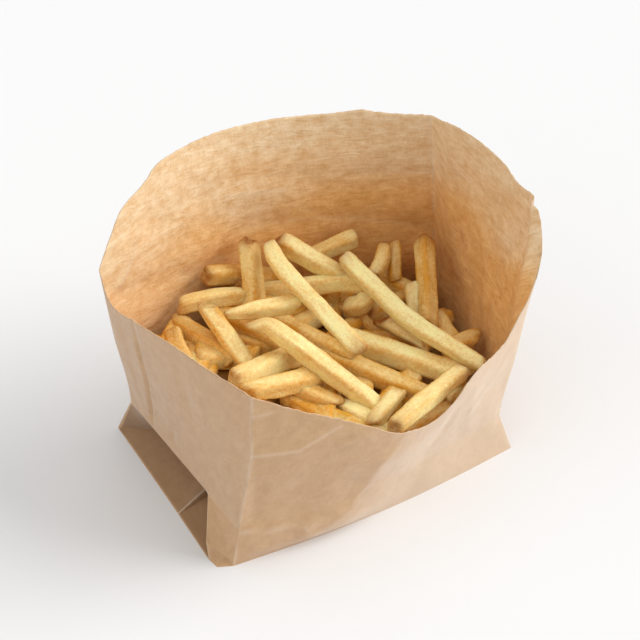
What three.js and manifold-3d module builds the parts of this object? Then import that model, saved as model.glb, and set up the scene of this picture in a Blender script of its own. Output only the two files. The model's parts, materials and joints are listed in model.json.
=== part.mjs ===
// French fries in a short brown paper bag with an open, unevenly cut mouth.
//
// Units are millimetres and +Z is up. The origin lies on the underside of the bag, near the
// middle of its base. +X runs to the right along the front panel and +Y runs to the back.
//
// The bag is one thin shell: four panels between four folded corners. Just above the base the
// two side panels tuck in, as the gussets of a block-bottom bag do. The fries are one heap: a
// plain core that fills the lower bag, a bed of fries half sunk in its top, and the fries that
// lie on that bed, all fused into one solid.

import * as THREE from 'three';
import { ParametricGeometry } from 'three/addons/geometries/ParametricGeometry.js';
import { mergeVertices } from 'three/addons/utils/BufferGeometryUtils.js';
import Module from 'manifold-3d';

const wasm = await Module();
wasm.setup();

// ------------------------------------------------------------------ bag: driving dimensions

const PAPER = 0.9; // wall thickness of the shell
const CREASE_HEIGHT = 19; // the fold that runs round the bag above its base
const WALL_ROWS = 5; // rows of faces between that fold and the mouth
const MERGE = 1e-4; // vertices closer than this are one
const STEADINESS = 0.02; // keeps a point steady where all the faces around it are level

// The folded corners, each as [height, x, y] from the base to the mouth.
const CORNERS = {
  frontLeft: [[0, -64, -41], [19, -61, -41], [56, -56, -43.5], [84, -54, -42]],
  frontRight: [[0, 66.3, -45], [19, 60.3, -42.8], [50, 65, -44], [75, 71, -42.5], [94, 76, -42]],
  backRight: [[0, 78, 46], [19, 76, 40], [50, 80, 34], [116, 76, 35]],
  backLeft: [[0, -66.5, 52.5], [19, -63, 44.5], [58, -68, 43.5], [95, -72, 42.5]],
};

// The panels in order round the bag, counter-clockwise from above.
//   bulge: how far the middle of the panel stands out, as [height, mm]
//   mouth: height of the cut edge, as [share of the way along the panel, height]
//   shares: where the columns of faces stand along the panel
const evenShares = (count) => Array.from({ length: count }, (_, i) => i / count);
const PANELS = [
  {
    corners: ['frontLeft', 'frontRight'],
    bulge: [[0, 4], [19, 6.6], [55, 13.5]],
    mouth: [
      [0, 83], [0.15, 72.5], [0.28, 64.5], [0.38, 57.5], [0.46, 51], [0.53, 48], [0.6, 46],
      [0.65, 47.5], [0.69, 51], [0.73, 57], [0.78, 60.5], [0.84, 61], [0.91, 63.5],
      [0.95, 71], [0.985, 77], [1, 90],
    ],
    shares: [...evenShares(20), 0.975],
  },
  {
    corners: ['frontRight', 'backRight'],
    bulge: [[0, 0], [19, 1], [60, 3], [116, 5]],
    mouth: [
      [0, 90], [0.02, 107], [0.05, 116], [0.12, 115], [0.31, 112], [0.46, 115], [0.77, 117],
      [1, 116],
    ],
    shares: [0, 0.025, 0.07, 0.12, 0.2, 0.3, 0.45, 0.6, 0.74, 0.88, 0.94],
  },
  {
    corners: ['backRight', 'backLeft'],
    bulge: [[0, 2], [19, 3], [60, 15], [118, 27]],
    mouth: [
      [0, 116], [0.13, 117.5], [0.17, 119], [0.25, 117.7], [0.5, 118.7], [0.66, 119.4],
      [0.76, 119], [0.82, 114.5], [0.9, 111], [0.95, 103], [1, 92],
    ],
    shares: evenShares(20),
  },
  {
    corners: ['backLeft', 'frontLeft'],
    bulge: [[0, 0], [19, 0], [84, 3]],
    mouth: [
      [0, 92], [0.015, 82], [0.05, 77], [0.09, 76.5], [0.24, 79.6], [0.41, 82.5],
      [0.56, 84], [0.88, 83.4], [1, 83],
    ],
    shares: [0, 0.06, 0.12, 0.26, 0.4, 0.55, 0.7, 0.72, 0.735, 0.8, 0.87, 0.94],
  },
];
const RIGHT = 1;
const LEFT = 3;

// Near the front right corner the old fold line of the bag is pushed in, as a notch.
const NOTCH = { share: 0.07, width: 0.05, depth: 5, from: 30, full: 100 };

// The tucks above the base of the side panels: under the crease the paper runs in to a toe and
// back out to the foot. One row for each place where that changes, from the back to the front.
//   at: share of the way along the panel, from its back
//   foot: its own share and how far it stands out
//   toe: its own share, how far it stands out and its height; or only where it lies on the
//     plain fold between foot and crease, as a share of the way up
const TUCKS = {
  [LEFT]: [
    { at: 0, foot: [0, 0], toe: 0.15 },
    { at: 0.12, foot: [0.13, 0.8], toe: [0.134, -9.2, 7.4] },
    { at: 0.7, foot: [0.62, 3.9], toe: [0.583, -7.5, 6] },
    { at: 0.72, foot: [0.905, 6], toe: [0.842, -3.3, 3.5] },
    { at: 0.735, foot: [0.9155, 6.1], toe: [0.895, 9.3, 9] },
    { at: 0.87, foot: [0.969, 5.4], toe: [0.947, 6.1, 5.4] },
    { at: 1, foot: [1, 0], toe: 0.1 },
  ],
  [RIGHT]: [
    { at: 0, foot: [0, 0], toe: 0.15 },
    { at: 0.12, foot: [0.13, 0.8], toe: [0.134, -9.2, 7.4] },
    { at: 0.88, foot: [0.87, 0.8], toe: [0.866, -9.2, 7.4] },
    { at: 1, foot: [1, 0], toe: 0.1 },
  ],
};

// ---------------------------------------------------------------- fries: driving dimensions

const FRY = 7.9; // side of the square section
const FLAT_SHARE = 0.62; // part of each side between its taken-off edges
const WAIST = { middle: 1.04, ends: 0.9 }; // width of a fry along its length, as shares of FRY
const FLOOR = PAPER + 0.4; // underside of the heap
const BOW = 1; // height of the arch of a fry without a bend
const TAPER_LENGTH = 14; // distance over which a tapered end grows to full size
// The rooms inside the bag that the core and the fries stay in.
//   gap: distance from the paper, by height
//   corner: share of each panel that is cut off at its ends
const CORE_ROOM = { gap: [[19, 12], [35, 5]], corner: 0.17 };
const FRIES_ROOM = { gap: [[0, 1]], corner: 0.06 };
const ROOM_COLUMNS = 8; // columns of a room on each panel
const ROOM_HEIGHTS = [FLOOR, CREASE_HEIGHT, 35, 50, 62, 75, 94, 116];
const SMALLEST_DETAIL = 0.02; // faces finer than this are joined
// Top of the core at the middle of the bag, and its rise for each mm to the back and right.
const CORE_TOP = { height: 41, back: 0.12, right: -0.09 };

// The fries that lie half sunk in the top of the core and cover it, in rows from front to back.
const BED = {
  rows: 5, // spread from y = -depth to y = depth
  columns: 6, // spread from x = -width to x = width
  width: 54,
  depth: 37,
  wander: 7, // how far a fry strays from its place
  length: [36, 52],
  swing: 62, // largest turn from the x direction, in degrees
  lift: [-1, 3.5], // height of an end above the core
  size: [0.85, 1.05], // side of the section, as a share of FRY
};

// The fries that show, from the lowest to the highest.
//   line: the middle line, from end to end
//   size: side of the section, as a share of FRY
//   roll: turn of the section about the line, in degrees
//   ends: size of both ends, as shares of the size
const FRIES = [
  { line: [[30, -39, 34], [47, -34, 34]] },
  { line: [[8, -46, 37], [34, -43, 35]] },
  { line: [[52, -15, 39], [65, -18, 40]], size: 0.95 },
  { line: [[56, -16, 37], [59, 4, 40]] },
  { line: [[32, 3, 50], [41, -16, 45]], size: 0.85, roll: 20, ends: [0.9, 0.5] },
  { line: [[-22, -9, 43], [-12, -31, 41]] },
  { line: [[-6, -19, 43], [4, -45, 37]], roll: 10, ends: [0.35, 1] },
  { line: [[2, 3, 46], [31, -39, 38]] },
  { line: [[13, 8, 47], [47, -37, 42]], size: 1.12 },
  { line: [[-23, 25, 48], [-4, 7, 45]] },
  { line: [[-22, -4, 49], [-8, -25, 44]] },
  { line: [[-7, 34, 50], [12, -9, 44]], size: 1.05 },
  { line: [[26, 25, 45], [32, 8, 40]], size: 0.8 },
  { line: [[55, 14, 51], [48, -1, 43]], size: 0.9, roll: 20 },
  { line: [[49.5, 37.5, 46], [61, 8, 42]], size: 0.95 },
  { line: [[59, 34, 58], [53, 24, 47]], size: 0.7 },
  { line: [[68, 25, 63], [49, -6, 44]], size: 0.95, roll: 45 },
  { line: [[-45, 19, 52], [-26, 14, 47]] },
  { line: [[-49, 30, 62], [-49, 20, 50]], roll: 20 },
  { line: [[-42, 41, 54], [-30, 10, 50]] },
  { line: [[-26, 40, 54], [-8, 6, 49]] },
  { line: [[-24, 40, 54], [0, 33, 51]], size: 0.9 },
  { line: [[-11, 46, 58], [-11, 42, 46]], size: 0.8 },
  { line: [[-24, 48, 66], [-8, 48, 60], [16, 44, 49]], roll: 10 },
  { line: [[-39, 43, 60], [-11, 36, 58]], size: 0.85 },
  { line: [[-3, 49, 75], [-7, 39, 65], [-13, 27, 51]], roll: 40 },
  { line: [[-40, -13, 57], [-6, -12, 49]], size: 0.95 },
  { line: [[-42, -6, 59], [-3, 4, 48]] },
  { line: [[-33, 31, 66], [-31, 19, 59], [-28, 5, 50]], size: 0.9, roll: 15 },
  { line: [[-28, 24, 64], [-15, 20, 64], [2, 17, 62]], size: 0.85, ends: [0.5, 1] },
  { line: [[22, 46, 57], [44, 40, 64]], size: 0.9 },
  { line: [[54, 34, 60], [49, 28, 58], [42, 24, 54]], size: 0.75 },
  { line: [[-5, 43, 53], [14, 30, 57], [29, 22, 58], [34, 16, 55], [30, 14, 52], [25, 18, 49]],
    size: 0.9 },
  { line: [[9, 47, 72], [31, 23, 56]], size: 0.95, roll: 10 },
  { line: [[-1, -41, 43], [16, -34, 47]], size: 0.75 },
  { line: [[-23, 12, 63], [-18, 8, 65], [-15, 0, 64], [-7, -13, 56], [7, -34, 42]], size: 0.92,
    roll: 15, ends: [0.7, 1] },
  { line: [[42, -40, 50], [1, -52, 49]], size: 0.86 },
  { line: [[29, 27, 68], [33, 8, 62], [38, -12, 56], [52, -42, 48]], size: 0.88, roll: 20,
    ends: [1, 0.85] },
  { line: [[2, 40, 77], [0, 28, 74], [4, 11, 67], [9, -18, 58]], size: 0.92, roll: 20,
    ends: [0.8, 1.08] },
];

// ------------------------------------------------------------------------- small functions

/** Value at x of a table of [x, value, ...] rows, straight between rows and flat outside. */
function readTable(table, x, column = 1) {
  const next = table.findIndex((row) => row[0] >= x);
  if (next === 0) return table[0][column];
  if (next < 0) return table[table.length - 1][column];
  const [a, b] = [table[next - 1], table[next]];
  return THREE.MathUtils.mapLinear(x, a[0], b[0], a[column], b[column]);
}

/** A geometry with its equal vertices merged and its empty triangles left out. */
function weld(geometry) {
  geometry.deleteAttribute('normal');
  geometry.deleteAttribute('uv');
  const merged = mergeVertices(geometry, MERGE);
  const corners = Array.from(merged.index.array);
  const kept = [];
  for (let i = 0; i < corners.length; i += 3) {
    const [a, b, c] = corners.slice(i, i + 3);
    if (a !== b && b !== c && c !== a) kept.push(a, b, c);
  }
  merged.setIndex(kept);
  return merged;
}

/** The solid inside a closed geometry. */
function solidFrom(geometry) {
  const closed = weld(geometry);
  return new wasm.Manifold(new wasm.Mesh({
    numProp: 3,
    vertProperties: new Float32Array(closed.attributes.position.array),
    triVerts: new Uint32Array(closed.index.array),
  }));
}

/** The faces of a solid, shaded flat. */
function geometryFrom(solid) {
  const { vertProperties, triVerts } = solid.getMesh();
  const indexed = new THREE.BufferGeometry();
  indexed.setAttribute('position', new THREE.BufferAttribute(vertProperties, 3));
  indexed.setIndex(new THREE.BufferAttribute(triVerts, 1));
  const flat = indexed.toNonIndexed();
  flat.computeVertexNormals();
  return flat;
}

// -------------------------------------------------------------------------------- the bag

/** The place of a folded corner at a height, as a Vector2 in plan. */
function cornerAt(name, height) {
  const track = CORNERS[name];
  return new THREE.Vector2(readTable(track, height, 1), readTable(track, height, 2));
}

/** A point on the outside of a panel, at a share of its length and a height. */
function wallPoint(panelIndex, share, height, standOut = 0) {
  const panel = PANELS[panelIndex];
  const start = cornerAt(panel.corners[0], height);
  const along = cornerAt(panel.corners[1], height).sub(start);
  const outward = new THREE.Vector2(along.y, -along.x).normalize();
  let offset = standOut + readTable(panel.bulge, height) * Math.sin(Math.PI * share);
  if (panelIndex === RIGHT) {
    const grown = THREE.MathUtils.smoothstep(height, NOTCH.from, NOTCH.full);
    offset -= NOTCH.depth * grown * Math.exp(-(((share - NOTCH.share) / NOTCH.width) ** 2));
  }
  const plan = start.addScaledVector(along, share).addScaledVector(outward, offset);
  return new THREE.Vector3(plan.x, plan.y, height);
}

/** Foot and toe of a tucked panel at one row of the tuck. */
function tuckRow(panelIndex, { at, foot: [footShare, footOut], toe }) {
  const share = (fromBack) => (panelIndex === LEFT ? fromBack : 1 - fromBack);
  const foot = wallPoint(panelIndex, share(footShare), 0, footOut);
  if (!Array.isArray(toe)) {
    return [foot, foot.clone().lerp(wallPoint(panelIndex, share(at), CREASE_HEIGHT), toe)];
  }
  const [toeShare, toeOut, toeHeight] = toe;
  return [foot, wallPoint(panelIndex, share(toeShare), CREASE_HEIGHT, toeOut).setZ(toeHeight)];
}

/** Foot and toe of a panel at a share, on straight lines between the rows of the tuck. */
function footAndToe(panelIndex, share) {
  const tuck = TUCKS[panelIndex];
  if (!tuck) {
    if (share === 0) return footAndToe((panelIndex + PANELS.length - 1) % PANELS.length, 1);
    const foot = wallPoint(panelIndex, share, 0);
    return [foot, foot.clone().lerp(wallPoint(panelIndex, share, CREASE_HEIGHT), 0.5)];
  }
  const fromBack = panelIndex === LEFT ? share : 1 - share;
  const next = Math.max(tuck.findIndex((row) => row.at >= fromBack), 1);
  const mix = THREE.MathUtils.inverseLerp(tuck[next - 1].at, tuck[next].at, fromBack);
  const [before, after] = [next - 1, next].map((row) => tuckRow(panelIndex, tuck[row]));
  return before.map((point, i) => point.lerp(after[i], mix));
}

/** One column of the outside of the bag: foot, toe, crease, then the wall up to the mouth. */
function wallColumn(panelIndex, share) {
  const [foot, toe] = footAndToe(panelIndex, share);
  const column = [foot, toe, wallPoint(panelIndex, share, CREASE_HEIGHT)];
  const mouth = readTable(PANELS[panelIndex].mouth, share);
  for (let row = 1; row <= WALL_ROWS; row += 1) {
    const height = THREE.MathUtils.lerp(CREASE_HEIGHT, mouth, row / WALL_ROWS);
    column.push(wallPoint(panelIndex, share, height));
  }
  return column;
}

// All columns round the bag, and for each whether it is on a tucked panel.
const outsideColumns = PANELS.flatMap(
  (panel, index) => panel.shares.map((share) => wallColumn(index, share)),
);
const onTuck = PANELS.flatMap((panel, index) => panel.shares.map(() => index in TUCKS));

/** The faces between the columns, by point; each quad folds along its shorter diagonal. */
function facesBetween(columns) {
  const rows = columns[0].length;
  const points = columns.flat();
  const faces = [];
  columns.forEach((column, i) => {
    const next = (i + 1) % columns.length;
    for (let row = 0; row + 1 < rows; row += 1) {
      const [a, b] = [i * rows + row, next * rows + row];
      const [c, d] = [b + 1, a + 1];
      const falling = points[b].distanceTo(points[d]) < points[a].distanceTo(points[c]);
      faces.push(...(falling ? [[a, b, d], [b, c, d]] : [[a, b, c], [a, c, d]]));
    }
  });
  return faces;
}

/** The move of a point that takes every face around it in by a distance, as nearly as can be. */
function moveInward(normals, distance) {
  const products = [0, 1, 2].flatMap((i) => [0, 1, 2].map(
    (j) => normals.reduce((sum, n) => sum + n.getComponent(i) * n.getComponent(j), 0)
      + (i === j ? STEADINESS * normals.length : 0),
  ));
  const total = normals.reduce((sum, n) => sum.add(n), new THREE.Vector3());
  return total.multiplyScalar(-distance).applyMatrix3(new THREE.Matrix3().set(...products).invert());
}

/** The points on the inside of the paper, one for each point of the columns outside. */
function pointsInside(columns, faces, distance) {
  const rows = columns[0].length;
  const points = columns.flat();
  const around = points.map((point, k) => (k % rows === 0 ? [new THREE.Vector3(0, 0, -1)] : []));
  for (const face of faces) {
    const normal = new THREE.Triangle(...face.map((k) => points[k])).getNormal(new THREE.Vector3());
    face.forEach((k) => around[k].push(normal));
  }
  const inside = points.map((point, k) => point.clone().add(moveInward(around[k], distance)));
  columns.forEach((column, i) => {
    const [foot, toe] = [inside[i * rows], inside[i * rows + 1]];
    if (onTuck[i]) {
      // A tuck is solid down to the base, as the layers that are folded under it fill it.
      const along = columns[(i + 1) % columns.length][0].clone().sub(columns[i - 1][0]).normalize();
      const across = toe.clone().sub(foot);
      foot.add(across.addScaledVector(along, -across.dot(along)));
    }
    foot.setZ(distance);
  });
  return inside;
}

/** The bag: a closed shell between the columns of its outside and the points inside them. */
function bagGeometry(columns) {
  const rows = columns[0].length;
  const outerFaces = facesBetween(columns);
  const inside = pointsInside(columns, outerFaces, PAPER);
  const points = [...columns.flat(), ...inside, new THREE.Vector3(), new THREE.Vector3(0, 0, PAPER)];
  const [underside, floor] = [points.length - 2, points.length - 1];
  const innerFaces = outerFaces.map(([a, b, c]) => [c, b, a].map((k) => k + inside.length));
  const edges = columns.flatMap((column, i) => {
    const [foot, nextFoot] = [i * rows, ((i + 1) % columns.length) * rows];
    const [a, b] = [foot + rows - 1, nextFoot + rows - 1];
    const [c, d] = [b + inside.length, a + inside.length];
    return [
      [a, b, c], [a, c, d], [underside, nextFoot, foot],
      [floor, foot + inside.length, nextFoot + inside.length],
    ];
  });
  const geometry = new THREE.BufferGeometry().setFromPoints(points);
  geometry.setIndex([...outerFaces, ...innerFaces, ...edges].flat());
  geometry.computeVertexNormals();
  return geometry;
}

// ------------------------------------------------------------------------------ the fries

/** A closed surface through profiles that run from one middle point to another. */
function surfaceThrough(profiles) {
  const rows = profiles[0].length - 1;
  const count = profiles.length;
  const pick = (u, v, target) => {
    const profile = profiles[Math.round(u * count) % count];
    target.copy(profile[Math.round(v * rows)]);
  };
  return new ParametricGeometry(pick, count, rows);
}

/** A plain room inside the bag, kept clear of its walls, with its corners cut off. */
function roomInside({ gap, corner }) {
  const columns = PANELS.flatMap((panel, index) => evenShares(ROOM_COLUMNS - 1).concat(1).map(
    (along) => ROOM_HEIGHTS.map((height) => {
      const share = THREE.MathUtils.lerp(corner, 1 - corner, along);
      const inset = -PAPER - readTable(gap, height);
      const wall = wallPoint(index, share, Math.max(height, CREASE_HEIGHT), inset);
      return wall.setZ(height);
    }),
  ));
  const floor = new THREE.Vector3(0, 0, ROOM_HEIGHTS[0]);
  const lid = new THREE.Vector3(0, 0, ROOM_HEIGHTS[ROOM_HEIGHTS.length - 1]);
  return solidFrom(surfaceThrough(columns.map((column) => [floor, ...column, lid])));
}

/** The part of the heap that hardly shows: it fills the lower bag up to a slope. */
function heapCore() {
  const down = new THREE.Vector3(CORE_TOP.right, CORE_TOP.back, -1).normalize();
  return roomInside(CORE_ROOM).trimByPlane(down.toArray(), CORE_TOP.height * down.z);
}

/** The middle line of a fry as a curve. A line without a bend gets a slight arch. */
function middleLine(line, random) {
  const points = line.map((place) => new THREE.Vector3(...place));
  if (points.length === 2) {
    const sway = new THREE.Vector3(random() - 0.5, random() - 0.5, 1).multiplyScalar(BOW);
    points.splice(1, 0, points[0].clone().lerp(points[1], 0.5).add(sway));
  }
  return new THREE.CatmullRomCurve3(points);
}

/** One fry: a square bar with its long edges taken off, swept along its line. */
function fryBar({ line, size = 1, roll = 0, ends = [1, 1] }, random) {
  const curve = middleLine(line, random);
  const length = curve.getLength();
  const half = (FRY * size) / 2;
  const edge = half * FLAT_SHARE;
  const section = new THREE.Shape([
    [half, -edge], [half, edge], [edge, half], [-edge, half],
    [-half, edge], [-half, -edge], [-edge, -half], [edge, -half],
  ].map(([x, y]) => new THREE.Vector2(x, y).rotateAround(
    new THREE.Vector2(), THREE.MathUtils.degToRad(roll),
  )));
  const steps = Math.max(line.length, 3);
  const bar = new THREE.ExtrudeGeometry(section, { depth: 1, steps, bevelEnabled: false });
  const places = bar.attributes.position;
  const grown = (distance, end) => THREE.MathUtils.lerp(end, 1, Math.min(distance / TAPER_LENGTH, 1));
  for (let i = 0; i < places.count; i += 1) {
    const [x, y, along] = [places.getX(i), places.getY(i), places.getZ(i)];
    const waist = THREE.MathUtils.lerp(WAIST.middle, WAIST.ends, Math.abs(2 * along - 1) ** 3);
    const taper = grown(along * length, ends[0]) * grown((1 - along) * length, ends[1]);
    const forward = curve.getTangentAt(along);
    const side = new THREE.Vector3(0, 0, 1).cross(forward).normalize();
    const up = forward.clone().cross(side);
    const place = curve.getPointAt(along)
      .addScaledVector(side, x * waist * taper)
      .addScaledVector(up, y * waist * taper);
    places.setXYZ(i, ...place.toArray());
  }
  return bar;
}

/** The fries that cover the core, each lying nearly flat on its slope. */
function bedFries(random) {
  const within = ([low, high]) => THREE.MathUtils.lerp(low, high, random());
  const topAt = (x, y) => CORE_TOP.height + CORE_TOP.back * y + CORE_TOP.right * x;
  return Array.from({ length: BED.rows * BED.columns }, (_, index) => {
    const column = index % BED.columns;
    const row = (index - column) / BED.columns;
    const x = THREE.MathUtils.lerp(-BED.width, BED.width, column / (BED.columns - 1));
    const y = THREE.MathUtils.lerp(-BED.depth, BED.depth, row / (BED.rows - 1));
    const middle = new THREE.Vector2(x, y);
    middle.x += within([-BED.wander, BED.wander]);
    middle.y += within([-BED.wander, BED.wander]);
    const turn = THREE.MathUtils.degToRad(within([-BED.swing, BED.swing]));
    const reach = new THREE.Vector2(within(BED.length) / 2, 0).rotateAround(new THREE.Vector2(), turn);
    const line = [middle.clone().sub(reach), middle.clone().add(reach)]
      .map((end) => [end.x, end.y, topAt(end.x, end.y) + within(BED.lift)]);
    return { line, size: within(BED.size) };
  });
}

/** The heap: core and fries as one solid, without sealed hollows or loose scraps. */
function heapGeometry() {
  const random = seededRandom(7);
  let heap = heapCore();
  for (const fry of [...FRIES, ...bedFries(random)]) {
    heap = heap.add(solidFrom(fryBar(fry, random)));
  }
  const bodies = heap.intersect(roomInside(FRIES_ROOM)).simplify(SMALLEST_DETAIL).decompose();
  bodies.sort((a, b) => b.volume() - a.volume());
  return geometryFrom(bodies[0]);
}

/** Even random numbers from 0 to 1 that are the same on every run. */
function seededRandom(seed) {
  let state = seed;
  return () => {
    state = (state * 16807) % 2147483647;
    return state / 2147483647;
  };
}

// --------------------------------------------------------------------------- the whole part

const kraftPaper = new THREE.MeshStandardMaterial({ color: 0xc4a484, roughness: 0.85 });
const friedPotato = new THREE.MeshStandardMaterial({ color: 0xe6c274, roughness: 0.5 });

const bag = new THREE.Mesh(bagGeometry(outsideColumns), kraftPaper);
bag.name = 'paper_bag';
const fries = new THREE.Mesh(heapGeometry(), friedPotato);
fries.name = 'fries';

const part = new THREE.Group();
part.add(bag, fries);

export default part;
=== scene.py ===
"""French fries in a short bag of brown kraft paper, on a plain stage.

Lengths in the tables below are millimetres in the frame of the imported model: +X runs to the
right along the front panel, +Y to the back and +Z up from the underside of the bag.
"""

import json
import math
from collections import namedtuple

import bpy
import numpy as np
from bpy.props import FloatProperty, FloatVectorProperty, IntProperty, PointerProperty
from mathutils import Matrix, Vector

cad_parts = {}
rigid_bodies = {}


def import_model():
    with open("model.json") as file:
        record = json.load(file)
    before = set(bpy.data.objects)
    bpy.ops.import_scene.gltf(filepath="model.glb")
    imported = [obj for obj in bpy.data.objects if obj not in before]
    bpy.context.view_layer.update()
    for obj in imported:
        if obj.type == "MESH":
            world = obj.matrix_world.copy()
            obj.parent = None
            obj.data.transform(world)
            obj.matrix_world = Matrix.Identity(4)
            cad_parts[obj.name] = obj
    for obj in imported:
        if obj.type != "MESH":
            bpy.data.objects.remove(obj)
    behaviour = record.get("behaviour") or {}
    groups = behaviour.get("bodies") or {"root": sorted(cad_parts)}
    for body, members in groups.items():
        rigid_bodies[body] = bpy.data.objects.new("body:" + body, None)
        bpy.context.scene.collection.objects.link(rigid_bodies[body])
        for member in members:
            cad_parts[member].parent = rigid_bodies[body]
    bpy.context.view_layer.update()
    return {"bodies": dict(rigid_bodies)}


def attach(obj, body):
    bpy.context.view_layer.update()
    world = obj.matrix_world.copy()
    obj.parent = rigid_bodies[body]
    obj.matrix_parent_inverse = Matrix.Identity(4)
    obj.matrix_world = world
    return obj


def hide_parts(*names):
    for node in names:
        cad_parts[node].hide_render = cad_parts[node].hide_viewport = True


bl_info = {
    "name": "French Fries in a Paper Bag",
    "version": (1, 0, 0),
    "blender": (4, 5, 0),
    "location": "3D View > Sidebar > Fries",
    "description": "Makes an open kraft paper bag, the fries in it and a plain stage",
    "category": "Add Mesh",
}

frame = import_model()
BODY = next(iter(frame["bodies"]))
MM = 0.001


# ------------------------------------------------------------------ the bag: driving dimensions

CREASE_HEIGHT = 19.0  # the fold that runs round the bag above its base

# The folded corners, each as rows of height, x and y from the base to the mouth.
CORNERS = {
    "front_left": ((0, -64, -41), (19, -61, -41), (56, -56, -43.5), (84, -54, -42)),
    "front_right": ((0, 66.3, -45), (19, 60.3, -42.8), (50, 65, -44), (75, 71, -42.5), (94, 76, -42)),
    "back_right": ((0, 78, 46), (19, 76, 40), (50, 80, 34), (116, 76, 35)),
    "back_left": ((0, -66.5, 52.5), (19, -63, 44.5), (58, -68, 43.5), (95, -72, 42.5)),
}

# A panel between two corners. bulge: how far its middle stands out, by height. mouth: height of
# the cut edge, by share of the way along the panel.
Panel = namedtuple("Panel", "corners bulge mouth")
FRONT, RIGHT, BACK, LEFT = range(4)
PANELS = (
    Panel(
        ("front_left", "front_right"),
        ((0, 4), (19, 6.6), (55, 13.5)),
        ((0, 83), (0.15, 72.5), (0.28, 64.5), (0.38, 57.5), (0.46, 51), (0.53, 48), (0.6, 46),
         (0.65, 47.5), (0.69, 51), (0.73, 57), (0.78, 60.5), (0.84, 61), (0.91, 63.5),
         (0.95, 71), (0.985, 77), (1, 90)),
    ),
    Panel(
        ("front_right", "back_right"),
        ((0, 0), (19, 1), (60, 3), (116, 5)),
        ((0, 90), (0.02, 107), (0.05, 116), (0.12, 115), (0.31, 112), (0.46, 115), (0.77, 117),
         (1, 116)),
    ),
    Panel(
        ("back_right", "back_left"),
        ((0, 2), (19, 3), (60, 15), (118, 27)),
        ((0, 116), (0.13, 117.5), (0.17, 119), (0.25, 117.7), (0.5, 118.7), (0.66, 119.4),
         (0.76, 119), (0.82, 114.5), (0.9, 111), (0.95, 103), (1, 92)),
    ),
    Panel(
        ("back_left", "front_left"),
        ((0, 0), (19, 0), (84, 3)),
        ((0, 92), (0.015, 82), (0.05, 77), (0.09, 76.5), (0.24, 79.6), (0.41, 82.5),
         (0.56, 84), (0.88, 83.4), (1, 83)),
    ),
)

# Under the crease the rows of points stand this far from foot to toe, and again to the crease.
FOLD_STEPS = np.array([0, 0.06, 0.25, 0.5, 0.75, 0.94])
TOE_ROW, CREASE_ROW = len(FOLD_STEPS), 2 * len(FOLD_STEPS)
BASE_RINGS = (0.1, 0.11, 0.4, 0.7)  # rings of the base, by share of the way to its middle
HALF_WAY_UP = 45.0  # the height at which a panel's length is taken
# By an upright fold: how far off it the next columns stand, and no other column comes nearer.
FOLD_COLUMNS = {"beside": 0.5, "clear": 0.9}

# The pushed-in fold by the front right corner.
NOTCH = {"share": 0.07, "width": 0.05, "depth": 5, "from": 30, "full": 100}

# The tucks above the base of the side panels: under the crease the paper runs in to a toe and
# back out to the foot. One row for each place where that changes, by share of the way from the
# back. foot: its own share and how far it stands out. toe: its own share, how far it stands out
# and its height; or only where it lies on the plain fold between foot and crease. fold: a crisp
# fold there.
Tuck = namedtuple("Tuck", "share foot toe fold", defaults=(False,))
TUCKS = {
    LEFT: (
        Tuck(0, (0, 0), 0.03),
        Tuck(0.12, (0.13, 0.8), (0.134, -9.2, 7.4)),
        Tuck(0.6, (0.53, 3.3), (0.5, -8, 6.6)),
        Tuck(0.695, (0.615, 3.85), (0.58, -7.5, 7.9), True),
        Tuck(0.705, (0.625, 3.95), (0.586, -7.5, 3.5), True),
        Tuck(0.72, (0.905, 6), (0.842, -3.3, 3.5), True),
        Tuck(0.735, (0.9155, 6.1), (0.895, 9.3, 9), True),
        Tuck(0.87, (0.969, 5.4), (0.947, 6.1, 5.4)),
        Tuck(1, (1, 0), 0.1),
    ),
    RIGHT: (
        Tuck(0, (0, 0), 0.03),
        Tuck(0.12, (0.13, 0.8), (0.134, -9.2, 7.4)),
        Tuck(0.88, (0.87, 0.8), (0.866, -9.2, 7.4)),
        Tuck(1, (1, 0), 0.05),
    ),
}

# Two crisp folds get a painted highlight: the ridge in the left tuck and the fold of the ear.
RIDGE_FOLD, EAR_FOLD = TUCKS[LEFT][3], TUCKS[LEFT][6]

# The ear at the front of the left tuck: its lowest part is pushed in, between these shares.
EAR = {"dent": 3.0, "grows": (0.74, 0.82), "fades": (0.9, 1.0)}

# Creases that can be told apart. points: share along the panel and height. out: how far the
# paper stands out along it. width: how far to each side it reaches. pale: how worn it is.
Crease = namedtuple("Crease", "panel points out width pale")
CREASES = (
    Crease(FRONT, ((0.49, 50), (0.475, 43), (0.43, 35), (0.42, 26), (0.36, 14), (0.24, 5)),
           3.2, 30, 0),
    Crease(FRONT, ((0.475, 16), (0.35, 5)), 0.7, 9, 0.15),
    Crease(FRONT, ((0.0, 56), (0.137, 55.6), (0.19, 58.7), (0.26, 63)), 0.5, 5, 0.5),
    Crease(FRONT, ((0.0, 74), (0.055, 75)), 0.3, 3, 0.4),
    Crease(FRONT, ((0.0, 17.2), (0.125, 14.1), (0.245, 12.5)), 0.5, 3.5, 0.5),
    Crease(FRONT, ((0.21, 13), (0.23, 6.5)), 0.7, 4, 0.4),
    Crease(LEFT, ((0.23, 80), (0.229, 66), (0.233, 44), (0.21, 27), (0.214, 19)), -1.4, 1.8, 0),
    Crease(BACK, ((0.56, 74.5), (0.35, 71.6), (0.256, 69.4), (0.107, 63.6), (0.02, 59.4)),
           0.8, 6, 0.2),
    Crease(BACK, ((0.57, 91), (0.4, 86.8)), -0.6, 6, 0.5),
    Crease(BACK, ((0.2, 90.2), (0.01, 87.7)), 0.4, 4, 0.3),
    Crease(BACK, ((0.85, 98), (0.91, 85), (0.945, 79)), -0.5, 4, 0.5),
)

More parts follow.
